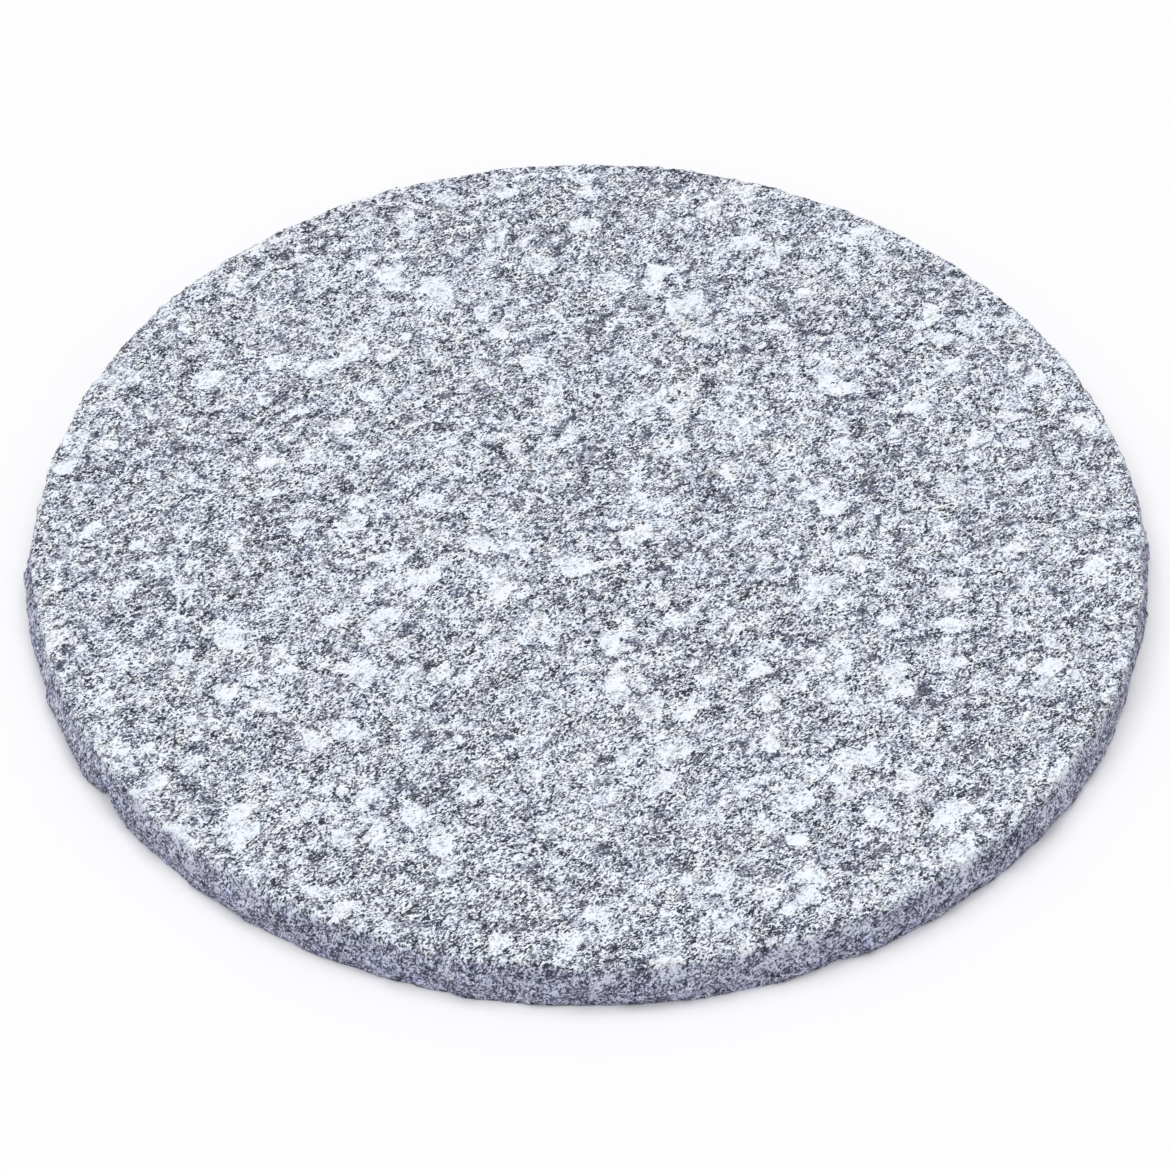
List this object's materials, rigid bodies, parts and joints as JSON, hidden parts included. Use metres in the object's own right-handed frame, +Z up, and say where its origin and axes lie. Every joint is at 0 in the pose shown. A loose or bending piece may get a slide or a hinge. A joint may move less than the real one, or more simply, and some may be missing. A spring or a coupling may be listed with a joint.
{
  "type": "garden stepping stone",
  "caption": "Round granite garden stepping stone with a level flamed walking face and a hand-split rim, to lie flat on lawn, sand or gravel.",
  "frame": {"origin": "middle of the underside, on the surface that the stone lies on", "axes": "+Z up through the walking face; +X to the right and +Y away from the viewer in the reference picture"},
  "size_m": [0.4076, 0.4075, 0.02],
  "materials": {
    "granite": "light grey foliated granite: flamed walking face, split rim, sawn underside"
  },
  "bodies": {
    "root": {"stepping_stone": "granite"}
  },
  "joints": []
}
